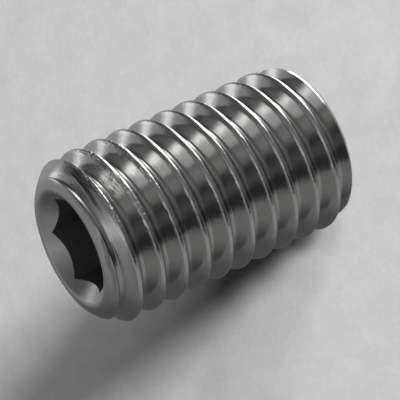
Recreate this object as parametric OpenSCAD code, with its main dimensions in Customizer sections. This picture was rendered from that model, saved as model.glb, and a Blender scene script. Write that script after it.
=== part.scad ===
// Grub set screw: a headless hexagon-socket screw with a flat, chamfered point.
// It stands on its point: the origin is the centre of the point face, and +Z runs
// along the axis to the socket end. The thread is right-handed. Its helix is too
// fine to build here, so the threaded length is its envelope at the major diameter.

/* [Thread] */
// Major diameter of the thread, over the crests
thread_d = 10; // [9.5:0.5:14]
// Distance from one crest to the next along the axis
thread_pitch = 1.5; // [0.75:0.25:2]

/* [Length] */
// Overall length, from the point face to the top of the lip round the socket
screw_length = 16.2; // [12:0.1:40]

/* [Point] */
// Diameter of the flat point face
point_d = 8.9; // [6:0.1:9.4]
// Slope of the chamfer round the point face, measured from the axis
point_chamfer_angle = 45; // [30:1:60]

/* [Socket end] */
// How far inside the thread's root the chamfer round the socket end stops
root_clearance = 0.05; // [0:0.05:0.2]
// Slope of the chamfer round the socket end, measured from the axis
socket_chamfer_angle = 45; // [30:1:60]
// Fall of the end face from the lip out to the chamfer, measured from the flat
face_slope = 18; // [5:1:25]

/* [Socket] */
// Width of the hexagon across its flats
socket_width = 5; // [3:0.25:5.5]
// Depth of the hexagon, from the top of the lip
socket_depth = 6; // [3:0.25:9]
// Turn of the hexagon about the axis, from a corner on +X
socket_turn = 4; // [0:1:59]
// Distance from the hexagon's corners out to the top of the lip
lip_margin = 0.6; // [0.4:0.1:0.8]
// Radius of the rounded lip
lip_round = 0.4; // [0.2:0.05:0.6]
// Full angle of the countersink inside the lip
countersink_angle = 90; // [80:1:120]
// Distance from the hexagon's flats in to the drill point's edge
drill_margin = 0.2; // [0.1:0.05:0.5]
// Full angle of the drill point below the hexagon
drill_point_angle = 120; // [90:1:140]

/* [Hidden] */
$fn = 96;

steel = [0.66, 0.66, 0.65];

// Root diameter of a 60 degree thread with a rounded root
root_d = thread_d - 1.2269 * thread_pitch;
thread_r = thread_d / 2;
face_r = root_d / 2 - root_clearance;
point_chamfer = (thread_r - point_d / 2) / tan(point_chamfer_angle);

// The lip is an arc between the countersink inside it and the sloping face outside it
hexagon_corner_r = socket_width / 2 / cos(30);
lip_r = hexagon_corner_r + lip_margin;
lip_inner_angle = 180 - countersink_angle / 2;
lip_outer_angle = 90 - face_slope;
lip_steps = 8;

function lip_point(angle) =
    [lip_r + lip_round * cos(angle), screw_length - lip_round + lip_round * sin(angle)];

lip_outer = lip_point(lip_outer_angle);
lip_inner = lip_point(lip_inner_angle);
face_edge_z = lip_outer.y - (face_r - lip_outer.x) * tan(face_slope);
thread_end_z = face_edge_z - (thread_r - face_r) / tan(socket_chamfer_angle);
countersink_tip_z = lip_inner.y - lip_inner.x / tan(countersink_angle / 2);

// The drill leaves a cone below the hexagon, a little narrower than its flats
drill_r = socket_width / 2 - drill_margin;
drill_tip = drill_r / tan(drill_point_angle / 2);

// The cuts reach this far past the metal, so that they break through it cleanly
overcut = 1;

// Half section of the solid body, with the countersink carried down to the axis
module body_section() {
    polygon(concat(
        [[0, 0], [point_d / 2, 0], [thread_r, point_chamfer]],
        [[thread_r, thread_end_z], [face_r, face_edge_z]],
        [for (i = [0 : lip_steps])
            lip_point(lip_outer_angle + (lip_inner_angle - lip_outer_angle) * i / lip_steps)],
        [[0, countersink_tip_z]]
    ));
}

module hexagon_cut() {
    rotate([0, 0, socket_turn])
        cylinder(r = hexagon_corner_r, h = socket_depth + overcut, $fn = 6);
}

module drill_cut() {
    rotate_extrude()
        polygon([[0, -drill_tip], [drill_r, 0], [drill_r, overcut], [0, overcut]]);
}

module set_screw() {
    color(steel)
        difference() {
            rotate_extrude() body_section();
            translate([0, 0, screw_length - socket_depth]) {
                hexagon_cut();
                drill_cut();
            }
        }
}

set_screw();
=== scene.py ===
# %% [markdown]
# # A grub set screw
# A grub screw is a short threaded rod with no head. A hexagon key drives it from
# inside one end, and the other end presses on a shaft. This one stands on its point,
# because a screw that lies on its side can roll away. The lesson cuts a true thread,
# finishes the steel and lights it. First it loads the plain model, which fixes the size.

# %% Load the frame
import math

import bmesh
import bpy
from mathutils import Matrix, Vector


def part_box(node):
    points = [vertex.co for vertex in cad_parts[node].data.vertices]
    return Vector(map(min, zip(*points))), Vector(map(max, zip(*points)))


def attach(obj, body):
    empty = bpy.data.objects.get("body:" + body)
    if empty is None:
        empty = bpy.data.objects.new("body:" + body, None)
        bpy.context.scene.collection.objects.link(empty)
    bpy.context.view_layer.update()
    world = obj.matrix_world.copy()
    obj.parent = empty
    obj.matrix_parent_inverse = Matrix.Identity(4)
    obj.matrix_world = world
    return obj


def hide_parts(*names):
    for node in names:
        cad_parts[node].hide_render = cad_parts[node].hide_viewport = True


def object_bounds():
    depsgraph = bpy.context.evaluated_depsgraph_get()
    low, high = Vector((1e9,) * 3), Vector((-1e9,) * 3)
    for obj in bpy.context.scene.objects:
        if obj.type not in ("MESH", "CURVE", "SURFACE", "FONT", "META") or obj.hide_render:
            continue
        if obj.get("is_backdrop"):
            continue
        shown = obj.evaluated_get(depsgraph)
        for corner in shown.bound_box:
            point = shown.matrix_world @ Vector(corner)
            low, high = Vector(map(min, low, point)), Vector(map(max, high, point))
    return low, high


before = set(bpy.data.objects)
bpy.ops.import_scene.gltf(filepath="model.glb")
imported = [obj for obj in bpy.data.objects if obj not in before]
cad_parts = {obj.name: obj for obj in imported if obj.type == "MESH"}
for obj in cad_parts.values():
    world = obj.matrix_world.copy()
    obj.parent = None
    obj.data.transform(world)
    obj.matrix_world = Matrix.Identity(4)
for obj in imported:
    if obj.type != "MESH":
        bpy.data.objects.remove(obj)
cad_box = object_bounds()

# %% [markdown]
# ## Sizes
# Blender works in metres and a screw is drawn in millimetres, so MM turns one into the
# other. The overall length and diameter come from the frame. The thread's own
# proportions follow from its pitch alone, as in every 60 degree metric thread.

# %% Sizes of the screw
MM = 0.001
NODE = "set_screw"
low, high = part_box(NODE)
LENGTH = high.z - low.z
THREAD_R = high.x
PITCH = 1.5 * MM
ROOT_R = THREAD_R - 0.61343 * PITCH
ROOT_ROUND = 0.14434 * PITCH
CREST_FLAT = PITCH / 8
print(f"screw {LENGTH / MM:.1f} mm long, {2 * THREAD_R / MM:.1f} mm over the thread")

# %% Sizes of the socket end and the point
HEX_WIDTH = 5.0 * MM
HEX_CORNER_R = HEX_WIDTH / 2 / math.cos(math.radians(30))
HEX_DEPTH = 6.0 * MM
HEX_TURN = math.radians(4)
LIP_R = HEX_CORNER_R + 0.6 * MM
LIP_ROUND = 0.4 * MM
FACE_SLOPE = math.radians(18)
FACE_R = ROOT_R - 0.05 * MM
DRILL_R = HEX_WIDTH / 2 - 0.2 * MM
POINT_R = 4.45 * MM
EDGE_BREAK = 0.27 * MM
POINT_CHAMFER = 1.2 * MM
CHAMFER_BULGE = 0.032 * MM
print(f"socket {HEX_WIDTH / MM:.1f} mm across flats, {HEX_DEPTH / MM:.1f} mm deep")

# %% [markdown]
# ## The thread's profile
# One turn of a rolled thread has a narrow flat crest with softened edges, two straight
# flanks 60 degrees apart, and a round root. The profile is worked out as a list of
# (distance along the axis, radius) pairs, from one crest to the next. Short steps are
# spent on the small curves, since they catch the light, and few on the straight flanks.

# %% Profile of one turn
CREST_ROUND = 0.14 * MM
FLANK = math.radians(30)


def arc(centre, radius, start, end, steps):
    """Points on an arc, as (along, radius) pairs, with angles in degrees."""
    angles = [math.radians(start + (end - start) * i / steps) for i in range(steps + 1)]
    return [(centre[0] + radius * math.cos(a), centre[1] + radius * math.sin(a)) for a in angles]


def half_profile():
    """From the middle of a crest down to the middle of the root."""
    corner = CREST_FLAT / 2 - CREST_ROUND * math.tan(FLANK)
    crest = [(0, THREAD_R), (corner / 2, THREAD_R)]
    edge = arc((corner, THREAD_R - CREST_ROUND), CREST_ROUND, 90, 30, 4)
    root = arc((PITCH / 2, ROOT_R + ROOT_ROUND), ROOT_ROUND, 210, 270, 6)
    top, foot = edge[-1], root[0]
    flank = [(top[0] + (foot[0] - top[0]) * t, top[1] + (foot[1] - top[1]) * t)
             for t in (0.25, 0.5, 0.75)]
    return crest + edge + flank + root


down = half_profile()
up = [(PITCH - along, radius) for along, radius in reversed(down)]
PROFILE = down + up[1:-1]
print("profile:", len(PROFILE), "points a turn")

# %% [markdown]
# ## The threaded rod
# A real thread is one groove wound round the bar, so the mesh is one strip wound the
# same way: row after row of the profile, each a little further round and a little
# higher. The far edge of one turn is the near edge of the next, so nothing needs to be
# sewn together. The rod is made too long at both ends, and is trimmed afterwards.

# %% Build helpers
def new_object(name, points, faces):
    """A closed mesh object, with its faces turned outwards."""
    mesh = bpy.data.meshes.new(name)
    mesh.from_pydata(points, [], faces)
    build = bmesh.new()
    build.from_mesh(mesh)
    bmesh.ops.recalc_face_normals(build, faces=build.faces)
    build.to_mesh(mesh)
    build.free()
    piece = bpy.data.objects.new(name, mesh)
    bpy.context.collection.objects.link(piece)
    return piece


def on_circle(angle, radius, z):
    return (radius * math.cos(angle), radius * math.sin(angle), z)


# %% Wind the thread
ROWS = 160
CREST_Z = LENGTH - 1.179 * MM
CREST_ANGLE = math.radians(-90)


def threaded_rod(name):
    """A right-handed rod, a turn or more longer than the screw at both ends."""
    columns = len(PROFILE)
    turns_below = math.ceil(CREST_Z / PITCH) + 2
    turns = turns_below + 3
    start_z = CREST_Z - turns_below * PITCH
    points = []
    for row in range(turns * ROWS + 1):
        angle = 2 * math.pi * row / ROWS
        rise = start_z + PITCH * row / ROWS
        points += [on_circle(CREST_ANGLE + angle, radius, rise + along)
                   for along, radius in PROFILE]

    def index(row, column):
        return row * columns + column if column < columns else (row + ROWS) * columns

    last = (turns - 1) * ROWS
    faces = [(index(row, c), index(row + 1, c), index(row + 1, c + 1), index(row, c + 1))
             for row in range(last) for c in range(columns)]
    for first, height in ((0, start_z), (last, start_z + (turns - 1) * PITCH)):
        hub = len(points)
        points.append((0, 0, height + PITCH / 2))
        rim = [index(first + row, 0) for row in range(ROWS + 1)]
        rim += [index(first, c) for c in range(columns - 1, 0, -1)]
        faces += [(hub, a, b) for a, b in zip(rim, rim[1:] + rim[:1])]
    used = sorted({corner for face in faces for corner in face})
    place = {old: new for new, old in enumerate(used)}
    return new_object(name, [points[i] for i in used],
                      [tuple(place[i] for i in face) for face in faces])


screw = threaded_rod("set_screw_steel")
print("rod:", len(screw.data.polygons), "faces")

# %% [markdown]
# ## Trimming the ends
# On the bench the bar is chamfered at both ends and the socket is pressed into one of
# them. The same order works here: a turned blank gives the shape that the rod is cut
# to, and a hexagon and a drill point are cut out of it. Booleans suit this job, because
# the thread then runs out over the chamfers exactly as it does on a real screw.

# %% Turned shapes
SEGMENTS = 160


def turned(name, section):
    """A solid of revolution. The section runs from the axis, outwards, back to the axis."""
    points = [(0, 0, section[0][1])]
    rings = section[1:-1]
    for radius, z in rings:
        points += [on_circle(2 * math.pi * i / SEGMENTS, radius, z) for i in range(SEGMENTS)]
    points.append((0, 0, section[-1][1]))
    top = len(points) - 1
    faces = []
    for i in range(SEGMENTS):
        j = (i + 1) % SEGMENTS
        faces.append((0, 1 + i, 1 + j))
        for ring in range(len(rings) - 1):
            a, b = 1 + ring * SEGMENTS, 1 + (ring + 1) * SEGMENTS
            faces.append((a + i, a + j, b + j, b + i))
        last = 1 + (len(rings) - 1) * SEGMENTS
        faces.append((top, last + i, last + j))
    return new_object(name, points, faces)


def blank_section():
    """Half section of the turned blank, from the point face to the countersink's tip."""
    outside = THREAD_R + 0.05 * MM
    lip = arc((LIP_R, LENGTH - LIP_ROUND), LIP_ROUND, 90 - math.degrees(FACE_SLOPE), 135, 10)
    face_z = lip[0][1] - (FACE_R - lip[0][0]) * math.tan(FACE_SLOPE)
    drop = outside - FACE_R
    steps = 6
    chamfer = []
    for i in range(steps + 1):
        fall = drop * (1 - i / steps)
        bulge = CHAMFER_BULGE * math.sin(math.pi * i / steps)
        chamfer.append((FACE_R + fall + bulge, face_z - fall + bulge))
    return [
        (0, 0),
        (POINT_R, 0),
        (POINT_R + EDGE_BREAK, EDGE_BREAK),
        (outside, POINT_CHAMFER),
        *chamfer,
        *lip,
        (0, lip[-1][1] - lip[-1][0]),
    ]


# %% Cut the ends and the socket
def cut(piece, tool, how):
    """Applies one boolean and throws the tool away."""
    step = piece.modifiers.new(how, "BOOLEAN")
    step.operation = how
    step.solver = "MANIFOLD"
    step.object = tool
    bpy.context.view_layer.update()
    made = bpy.data.meshes.new_from_object(piece.evaluated_get(bpy.context.evaluated_depsgraph_get()))
    piece.modifiers.clear()
    piece.data = made
    bpy.data.objects.remove(tool)


def hexagon_tool():
    floor_z, top_z = LENGTH - HEX_DEPTH, LENGTH + 1 * MM
    corners = [HEX_TURN + math.radians(60 * i) for i in range(6)]
    points = [on_circle(a, HEX_CORNER_R, z) for z in (floor_z, top_z) for a in corners]
    sides = [(i, (i + 1) % 6, 6 + (i + 1) % 6, 6 + i) for i in range(6)]
    return new_object("hexagon", points, [tuple(range(6)), tuple(range(6, 12)), *sides])


def drill_tool():
    floor_z = LENGTH - HEX_DEPTH
    tip_z = floor_z - DRILL_R / math.tan(math.radians(60))
    return turned("drill", [(0, tip_z), (DRILL_R, floor_z), (DRILL_R, floor_z + MM), (0, floor_z + MM)])


cut(screw, turned("blank", blank_section()), "INTERSECT")
cut(screw, hexagon_tool(), "DIFFERENCE")
cut(screw, drill_tool(), "DIFFERENCE")
print("screw:", len(screw.data.polygons), "faces")

# %% [markdown]
# ## Smooth and sharp edges
# A turned or rolled surface is smooth, and it meets the next one at a crisp edge. Flat
# shading would show every facet, and smooth shading alone would blur the crisp edges.
# So all faces are shaded smooth, and an edge stays sharp where its two faces meet at a
# clear angle. Stray doubled points from the cuts are merged first.

# %% Mark the sharp edges
SHARP = math.radians(22)


def shade(piece):
    build = bmesh.new()
    build.from_mesh(piece.data)
    bmesh.ops.remove_doubles(build, verts=build.verts, dist=0.0005 * MM)
    for face in build.faces:
        face.smooth = True
    for edge in build.edges:
        edge.smooth = len(edge.link_faces) == 2 and edge.calc_face_angle(0) < SHARP
    open_edges = sum(len(edge.link_faces) != 2 for edge in build.edges)
    volume = build.calc_volume()
    build.to_mesh(piece.data)
    build.free()
    print(f"shaded: {open_edges} open edges, {volume / MM ** 3:.1f} cubic mm")


shade(screw)
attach(screw, "root")
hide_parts(NODE)

# %% [markdown]
# ## Writing shader maths as sums
# A finish is a small network of nodes, and wiring each by hand hides what it works out.
# The class below wraps one socket and gives it plus, minus and times, so that
# `1 - mask * 2` adds the Math nodes for it and still reads as a sum. One method adds any
# other kind of node.

# %% A small class for sockets
class Value:
    """One output socket of a node tree, with operators that add Math nodes."""

    def __init__(self, tree, socket):
        self.tree, self.socket = tree, socket

    def node(self, kind, settings=None, inputs=None, output=0):
        """Adds any node: settings are set first, then each input by its name or place."""
        made = self.tree.nodes.new(kind)
        for name, setting in (settings or {}).items():
            setattr(made, name, setting)
        for key, given in (inputs or {}).items():
            if isinstance(given, Value):
                self.tree.links.new(given.socket, made.inputs[key])
            else:
                made.inputs[key].default_value = given
        return Value(self.tree, made.outputs[output])

    def math(self, operation, *values):
        return self.node("ShaderNodeMath", {"operation": operation}, dict(enumerate(values)))

    def __add__(self, other):
        return self.math("ADD", self, other)

    def __radd__(self, other):
        return self.math("ADD", other, self)

    def __sub__(self, other):
        return self.math("SUBTRACT", self, other)

    def __rsub__(self, other):
        return self.math("SUBTRACT", other, self)

    def __mul__(self, other):
        return self.math("MULTIPLY", self, other)

    def __rmul__(self, other):
        return self.math("MULTIPLY", other, self)


# %% [markdown]
# ## Masks
# A mask is a number that is 0 off a mark and 1 on it, with a soft edge between. Each
# mark on the steel is a mask or the product of a few. A crest, for one, is whatever lies
# far from the axis, and the socket is whatever lies near it and below the lip. Marks
# could be painted on an image instead, but a mask made from sizes stays sharp up close
# and follows the sizes when they change.

# %% Soft steps and bands
def step_up(x, at, soft):
    """0 below, 1 above, with a smooth edge of half width soft."""
    return x.node("ShaderNodeMapRange", {"interpolation_type": "SMOOTHSTEP"},
                  {"Value": x, "From Min": at - soft, "From Max": at + soft})


def band(x, low, high, soft):
    return step_up(x, low, soft) * (1 - step_up(x, high, soft))


# %% [markdown]
# ## Places on the steel
# Rolling a thread leaves marks that run round the screw, so the steel needs to know
# where it is: how far from the axis, how far below the socket end, and which way it
# faces. Noise looked up in those terms is drawn out round the screw like the marks of
# the rolls. Its fourth dimension is the height, so the marks differ from turn to turn.

# %% Where a spot is
class Spot:
    """A place on the steel. The distance below the socket end is in millimetres."""

    def __init__(self, tree):
        self.place = Value(tree, tree.nodes.new("ShaderNodeTexCoord").outputs["Object"])
        parts = self.place.node("ShaderNodeSeparateXYZ", {}, {0: self.place}).socket.node.outputs
        x, y, self.z = (Value(tree, part) for part in parts)
        self.radius = x.math("SQRT", x * x + y * y)
        self.below = (LENGTH - self.z) * (1 / MM)
        self.round_x = x.math("DIVIDE", x, self.radius)
        self.round_y = x.math("DIVIDE", y, self.radius)

    def facing(self, degrees):
        """1 where the steel faces this angle round the axis, -1 on the other side."""
        angle = math.radians(degrees)
        return self.round_x * math.cos(angle) + self.round_y * math.sin(angle)

    def lumps(self, per_mm, detail):
        """Plain noise."""
        return self.place.node("ShaderNodeTexNoise", {},
                               {"Vector": self.place, "Scale": per_mm / MM, "Detail": detail})

    def wound(self, around, across):
        """Noise drawn out round the screw: few changes around, many across."""
        at = self.z.node("ShaderNodeCombineXYZ", {}, {
            0: self.round_x * around, 1: self.round_y * around, 2: self.radius * (across / MM)})
        return self.z.node("ShaderNodeTexNoise", {"noise_dimensions": "4D"}, {
            "Vector": at, "W": self.z * (across / MM), "Scale": 1, "Detail": 3})

    def near(self, point, reach, soft):
        """1 within this reach of a point."""
        gap = self.place.node("ShaderNodeVectorMath", {"operation": "DISTANCE"},
                              {0: self.place, 1: point}, "Value")
        return 1 - step_up(gap, reach, soft)


# %% [markdown]
# ## Knocks and folds
# A screw that has been in a box with others carries small knocks, most of them on the
# crests near the end that gets handled. Where the thread runs out over the chamfer the
# rolls fold the metal over itself, which leaves a dark, streaky curve.

# %% Marks of making and use
KNOCKED_SIDE = -50
KNOCKED_LENGTH = 3.8
FOLDED_SIDE = -75
FOLD_INNER, FOLD_OUTER = 4.5, 4.76
FOLD_DRIFT = 0.62
CHAMFER_LINE = -3.74
SCRATCH = (2.32 * MM, -3.86 * MM, LENGTH - 2.17 * MM)


def knocks(spot, crest):
    """Nicks on the crests, thickest near the socket end on one side."""
    side = step_up(spot.facing(KNOCKED_SIDE), 0.8, 0.15)
    share = 0.15 + side * (1 - step_up(spot.below, KNOCKED_LENGTH, 0.8))
    return step_up(spot.wound(16, 4), 0.5, 0.05) * crest * share


def fold(spot):
    """The curve on the chamfer where the thread runs out. It drifts towards the axis."""
    radius = spot.radius * (1 / MM)
    chamfer = 1 - step_up(spot.below - radius, CHAMFER_LINE, 0.05)
    drifted = radius + 0.4 - FOLD_DRIFT * spot.round_x
    side = step_up(spot.facing(FOLDED_SIDE), 0.77, 0.1)
    return band(drifted, FOLD_INNER, FOLD_OUTER, 0.06) * chamfer * side


def scratches(spot):
    return spot.near(SCRATCH, 0.55 * MM, 0.2 * MM) * step_up(spot.wound(7, 16), 0.52, 0.08)


# %% [markdown]
# ## The steel
# Bare steel has no colour of its own to speak of: nearly all that shows is what it
# reflects. Its roughness and its bump decide how clean the reflections are, so both
# vary, but only a little, since a rolled thread is close to a mirror. The countersink
# and the socket are rougher, and so duller, because nothing polishes them. The colour
# also carries painted light: the crests are painted lighter, as a painted highlight, and
# the roots and the inside of the socket are painted darker, as painted shade. The bump
# stands in for marks a few thousandths of a millimetre deep, which would take millions
# of faces as a mesh.

# %% Steel
SHEEN = 0.095
BRIGHTNESS = 0.60
RELIEF = 0.02 * MM
SOCKET_R = 3.0 * MM
COUNTERSINK_R = 3.4 * MM


def steel():
    material = bpy.data.materials.new("steel")
    material.use_nodes = True
    tree = material.node_tree
    shader = tree.nodes["Principled BSDF"]
    spot = Spot(tree)

    streak = spot.wound(3, 9)
    cloud = spot.lumps(1.1, 2)
    ripple = spot.lumps(2.4, 1)
    crest = step_up(spot.radius, THREAD_R - 0.12 * MM, 0.06 * MM)
    root = 1 - step_up(spot.radius, ROOT_R + 0.09 * MM, 0.05 * MM)
    end = 1 - step_up(spot.below, 1.5, 0.3)
    inside = (1 - step_up(spot.radius, SOCKET_R, 0.05 * MM)) * step_up(spot.below, 0.9, 0.15)
    sunk = 1 - step_up(spot.radius, COUNTERSINK_R, 0.08 * MM)
    folded = fold(spot)

    rough = SHEEN + streak * 0.05 + cloud * 0.04 + 0.03 * end + 0.15 * sunk + 0.1 * inside
    # The crests are painted lighter, as a painted highlight, and the roots darker, as painted shade in
    # the groove.
    bright = BRIGHTNESS + cloud * 0.06 + 0.06 * crest - 0.05 * root
    # The inside of the socket is painted darker, as painted shade in the deep hollow.
    bright = bright * (1 - 0.2 * inside)
    bright = bright * (1 - folded * (0.2 + 0.55 * step_up(streak, 0.45, 0.15)))
    colour = bright.node("ShaderNodeCombineColor", {}, {0: bright * 1.01, 1: bright, 2: bright * 0.99})

    relief = streak * (0.12 + 1.2 * folded) + cloud * 0.22 + ripple * 0.2
    relief = relief - knocks(spot, crest) * 1.2 + scratches(spot) * 1.5
    bump = relief.node("ShaderNodeBump", {}, {"Strength": 1, "Distance": RELIEF, "Height": relief})

    tree.links.new(colour.socket, shader.inputs["Base Color"])
    tree.links.new(rough.socket, shader.inputs["Roughness"])
    tree.links.new(bump.socket, shader.inputs["Normal"])
    shader.inputs["Metallic"].default_value = 1
    print("steel:", len(tree.nodes), "nodes")
    return material


screw.data.materials.clear()
screw.data.materials.append(steel())
screw.visible_diffuse = False

# %% [markdown]
# ## The floor
# The screw stands on a plain pale sheet with a faint mottle, as on thick paper. One
# square face is enough for it, since the mottle is noise. The camera sees the sheet at a
# slant, so the mottle is drawn out along Y to look even. The sheet isn't shown to the
# steel, which gets its whole surroundings from the studio below.

# %% Floor
FLOOR = 1.5
PALE = 0.6
SLANT = 2.3


def floor_material():
    material = bpy.data.materials.new("floor")
    material.use_nodes = True
    tree = material.node_tree
    shader = tree.nodes["Principled BSDF"]
    where = Value(tree, tree.nodes.new("ShaderNodeTexCoord").outputs["Object"])
    slanted = where.node("ShaderNodeVectorMath", {"operation": "MULTIPLY"}, {0: where, 1: (SLANT, 1, 1)})
    cloud = where.node("ShaderNodeTexNoise", {}, {"Vector": slanted, "Scale": 0.22 / MM, "Detail": 5})
    grain = where.node("ShaderNodeTexNoise", {}, {"Vector": slanted, "Scale": 1.6 / MM, "Detail": 3})
    shade = PALE + (cloud - 0.5) * 0.16 + (grain - 0.5) * 0.10
    colour = where.node("ShaderNodeCombineColor", {}, {0: shade, 1: shade, 2: shade})
    tree.links.new(colour.socket, shader.inputs["Base Color"])
    shader.inputs["Roughness"].default_value = 0.95
    shader.inputs["Specular IOR Level"].default_value = 0.1
    return material


def floor():
    corners = [(-FLOOR, -FLOOR, 0), (FLOOR, -FLOOR, 0), (FLOOR, FLOOR, 0), (-FLOOR, FLOOR, 0)]
    piece = new_object("floor", corners, [(0, 1, 2, 3)])
    piece.data.materials.append(floor_material())
    piece.visible_glossy = False
    piece.visible_shadow = False
    piece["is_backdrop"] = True
    print(f"floor: {2 * FLOOR:.0f} m square")


floor()

# %% [markdown]
# ## The camera
# The camera looks across the screw from above, far enough off for a long lens, which
# keeps the near and far ends of so small a thing in proportion. It is rolled well over
# to one side, so the screw runs across the picture with its socket end low on the left.
# Its place is worked out from the point it aims at, a distance and two angles, because
# those are easier to adjust than three coordinates.

# %% Camera
AIM = Vector((-0.5 * MM, 0, LENGTH - 8.45 * MM))
DISTANCE = 114.25 * MM
LENS = 180.9
RISE = math.radians(25.76)
AZIMUTH = math.radians(0.27)
ROLL = math.radians(114.46)


def camera():
    data = bpy.data.cameras.new("camera")
    data.sensor_width = 36
    data.lens = LENS
    data.clip_start = 0.01
    data.clip_end = 4
    piece = bpy.data.objects.new("camera", data)
    bpy.context.collection.objects.link(piece)
    back = Vector((math.sin(AZIMUTH) * math.cos(RISE), -math.cos(AZIMUTH) * math.cos(RISE),
                   math.sin(RISE)))
    piece.location = AIM + back * DISTANCE
    upright = (-back).to_track_quat("-Z", "Y").to_matrix()
    piece.rotation_euler = (upright @ Matrix.Rotation(-ROLL, 3, "Z")).to_euler()
    bpy.context.scene.camera = piece
    print(f"camera: {DISTANCE / MM:.0f} mm away, {LENS:.0f} mm lens")


camera()

# %% [markdown]
# ## What the steel reflects
# A polished thing shows the room more than itself, so the room is made with care. It is
# painted on the world as soft-edged panels over a grey bench and a darker wall. Each
# panel covers a range of turn about the bench's upright, which starts at the socket end,
# and a range of height above the bench. Narrow bright panels draw the white lines along
# the crests, and dark ones give the steel its depth.

# %% Panels of the room
BENCH_UP = (0.6, -0.8, 0)
BENCH_SIDE = (0.8, 0.6, 0)
BENCH_ALONG = (0, 0, 1)
BACKDROP = 0.58
BENCH = 0.29
WALL = 0.17
PANELS = [
    # name, turn from and to, height from and to, softness of each, brightness
    ("dark wall", -175, -38, 0, 48, 10, 14, 0.11),
    ("foot of the wall by the point", -172, -132, -12, 12, 8, 5, 0.07),
    ("darkest part of the wall", -146, -48, 1, 22, 8, 5, 0.035),
    ("beam above the wall", -148, -116, 36, 48, 6, 4, 0.05),
    ("light over the beam", -178, -146, 48, 66, 10, 8, 0.34),
    ("pale board at the socket end", -34, -4, 8, 32, 6, 6, 0.29),
    ("ceiling at the socket end", -25, 60, 46, 70, 12, 8, 0.12),
    ("shade under the ceiling", 18, 74, 28, 52, 6, 5, 0.035),
    ("dark box on the bench", 20, 44, -4, 16, 6, 6, 0.08),
    ("dark cloth", 45, 90, 6, 50, 6, 8, 0.06),
    ("dark box by the point", 98, 122, -6, 20, 6, 5, 0.03),
    ("bright ceiling", 78, 170, 48, 72, 7, 8, 0.66),
    ("brightest part of the ceiling", 82, 122, 46, 62, 5, 5, 1.35),
    ("bench in the shade", -31, -9, -52, -18, 4, 5, 0.17),
    ("pencil on the bench", -19, -12, -20, -2, 2, 3, 0.14),
    ("pale card on the bench", -13, 4, -11, 6, 3, 3, 0.62),
    ("low pale card", 57, 73, -18, -7, 5, 4, 1.15),
    ("small lamp", -23, -18, 5, 9, 2, 2, 2.0),
    ("narrow window", 114, 130, 28, 52, 4, 5, 2.0),
    ("tall window", 128, 166, -16, 50, 3, 4, 4.0),
]


def surroundings(tree):
    """How bright the room is in the direction of a reflected ray."""
    ray = Value(tree, tree.nodes.new("ShaderNodeTexCoord").outputs["Generated"])

    def share(axis):
        return ray.node("ShaderNodeVectorMath", {"operation": "DOT_PRODUCT"}, {0: ray, 1: axis}, "Value")

    height = ray.math("ARCSINE", share(BENCH_UP)) * math.degrees(1)
    turn = ray.math("ARCTAN2", share(BENCH_SIDE), share(BENCH_ALONG)) * math.degrees(1)
    bench = BENCH - 0.20 * step_up(-1 * height, 48, 22)
    bench = bench + 0.06 * band(turn, 64, 150, 20) * band(height, -45, 0, 12)
    level = bench + (WALL - bench) * step_up(height, 0, 2)
    for _, turn_from, turn_to, low, high, soft_turn, soft_height, light in PANELS:
        mask = band(turn, turn_from, turn_to, soft_turn) * band(height, low, high, soft_height)
        level = level + (light - level) * mask
    return level


# %% [markdown]
# ## The studio
# The world's Background node takes the room's brightness as its strength. The camera
# itself sees a plain backdrop past the floor's edge instead. The painted room lights
# nothing but the steel: the floor gets its light from lamps alone, which the steel in
# turn doesn't show, so that each can be adjusted without upsetting the other.

# %% Studio
def studio():
    world = bpy.data.worlds.new("studio")
    bpy.context.scene.world = world
    world.use_nodes = True
    world.cycles_visibility.diffuse = False
    tree = world.node_tree
    level = surroundings(tree)
    seen = Value(tree, tree.nodes.new("ShaderNodeLightPath").outputs["Is Camera Ray"])
    level = level + (BACKDROP - level) * seen
    tree.links.new(level.socket, tree.nodes["Background"].inputs["Strength"])
    tree.nodes["Background"].inputs["Color"].default_value = (1, 1, 1, 1)
    print("studio:", len(PANELS), "panels,", len(tree.nodes), "nodes")


studio()

# %% [markdown]
# ## Lamps for the floor
# Two low lamps throw the long soft shadow that runs away from the screw, one narrow and
# strong, one wide and weak. The wider a lamp is, the softer its shadow's edge. A faint
# overhead lamp keeps the shadow from going black.

# %% Lamps
LAMP_DISTANCE = 1.5
MIDDLE = Vector((0, 0, LENGTH / 2))


def area_light(name, place, size, power):
    """A lamp that faces the middle of the screw, with its size in metres and power in watts."""
    data = bpy.data.lights.new(name, "AREA")
    data.shape = "RECTANGLE"
    data.size, data.size_y = size
    data.energy = power
    piece = bpy.data.objects.new(name, data)
    bpy.context.collection.objects.link(piece)
    piece.location = place
    piece.rotation_euler = (MIDDLE - Vector(place)).to_track_quat("-Z", "Y").to_euler()
    piece.visible_glossy = False
    piece.visible_camera = False
    print(f"{name}: {power} W")


def toward(turn, height):
    """A lamp's place, at this turn from -Y towards +X and this height, in degrees."""
    turn, height = math.radians(turn), math.radians(height)
    level = LAMP_DISTANCE * math.cos(height)
    return (level * math.sin(turn), -level * math.cos(turn), LAMP_DISTANCE * math.sin(height))


area_light("narrow low lamp", toward(10.5, 8), (0.18, 0.3), 115)
area_light("wide low lamp", toward(25, 17), (0.48, 0.16), 19.5)
area_light("overhead lamp", (0, 0, 1), (1.2, 1.2), 0.4)
bpy.context.scene.view_settings.view_transform = "Standard"

# %% [markdown]
# ## Sizes, and the end
# The detailed screw has to fill the same box as the plain model. Both boxes are printed
# so that they can be compared. The measures printed below should agree to a hundredth of
# a millimetre.

# %% Sizes written down
seen_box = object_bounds()
for name, box in (("plain", cad_box), ("detailed", seen_box)):
    spans = [f"{(top - foot) / MM:.2f}" for foot, top in zip(*box)]
    print(name, "box:", " x ".join(spans), "mm")
